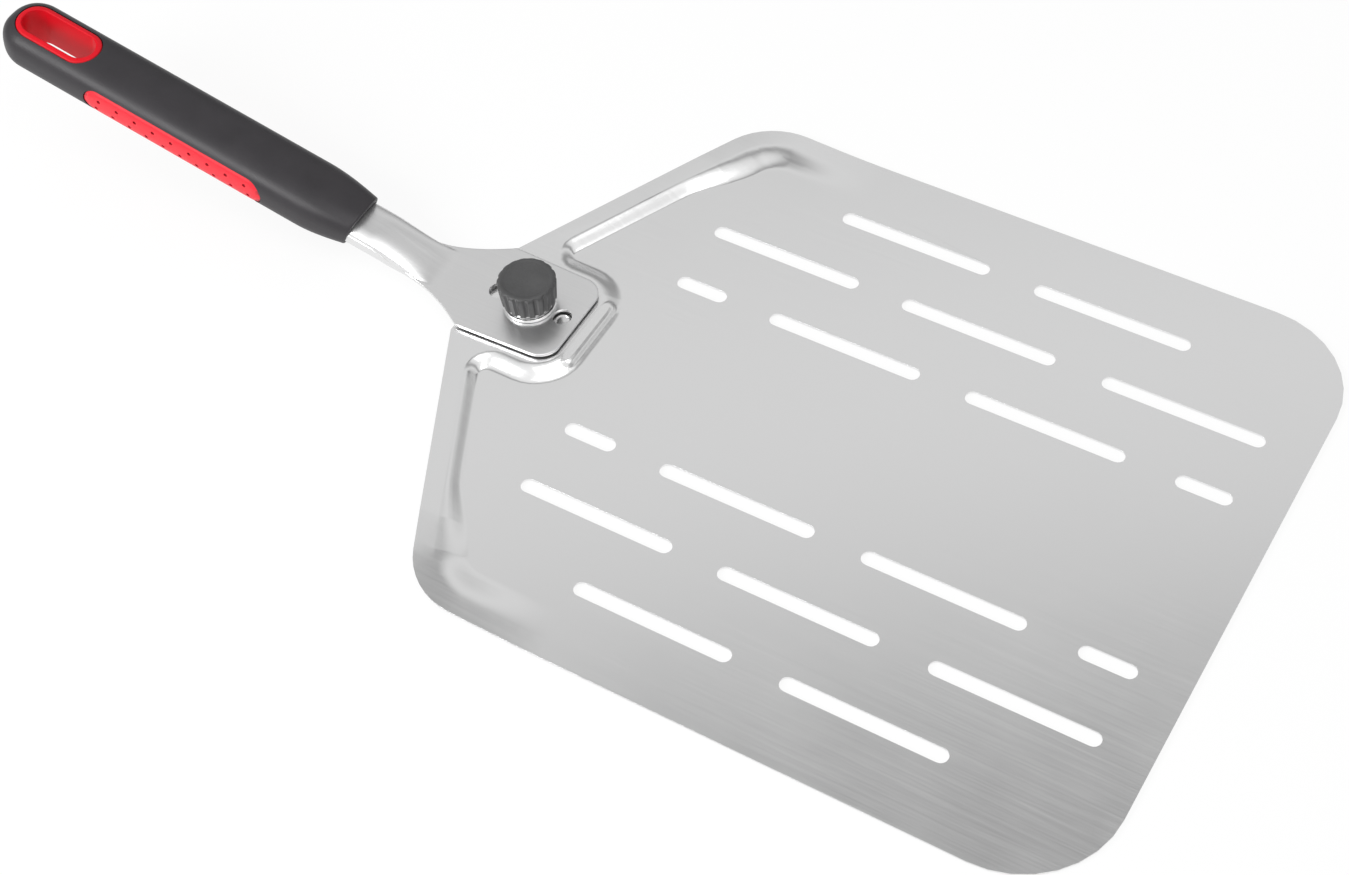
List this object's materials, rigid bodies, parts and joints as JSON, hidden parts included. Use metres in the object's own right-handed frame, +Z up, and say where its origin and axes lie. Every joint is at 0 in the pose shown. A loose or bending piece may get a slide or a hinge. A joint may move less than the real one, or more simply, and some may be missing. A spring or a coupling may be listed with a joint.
{
  "type": "pizza peel",
  "caption": "Pizza peel with a slotted steel blade and a gripped handle that swings round on a knob-clamped pivot to fold over the blade, with a hanging loop in its end.",
  "frame": {"origin": "centre of the slotted field, on the plane that the blade rests on", "axes": "+X from the handle to the blade's front edge, +Y to the blade's left side, +Z up from the blade"},
  "size_m": [0.6226, 0.305, 0.0681],
  "materials": {
    "steel": "fine brushed stainless sheet",
    "bright_steel": "bright plated turned steel",
    "black_rubber": "matte soft-touch",
    "black_plastic": "moulded, slightly glossy",
    "core_plastic": "plain moulded",
    "red_rubber": "matte soft-touch"
  },
  "bodies": {
    "blade": {"blade": "steel", "index_pin": "bright_steel", "pivot_bolt": "bright_steel"},
    "clamp_washer": {"clamp_washer": "bright_steel"},
    "handle": {"shank": "steel", "grip_core": "core_plastic", "grip_shell": "black_rubber", "hang_loop_liner": "red_rubber", "side_grip_left": "red_rubber", "side_grip_right": "red_rubber", "grip_pin": "bright_steel"},
    "knob": {"knob": "black_plastic", "knob_insert": "bright_steel"}
  },
  "joints": [
    {"name": "clamp_travel", "type": "slide", "parent": "blade", "child": "clamp_washer", "axis": [0, 0, 1], "range_m": [-0.00104, 0]},
    {"name": "handle_swing", "type": "hinge", "parent": "clamp_washer", "child": "handle", "pos_m": [-0.181, 0, 0.0069], "axis": [0, 0, 1], "range_deg": [-180, 180]},
    {"name": "knob_turn", "type": "hinge", "parent": "clamp_washer", "child": "knob", "pos_m": [-0.181, 0, 0.015], "axis": [0, 0, 1], "range_deg": [-302, 0]}
  ],
  "couplings": [
    {"joint": "knob_turn", "follows": "clamp_travel", "rad_per_m": 5026.5}
  ]
}
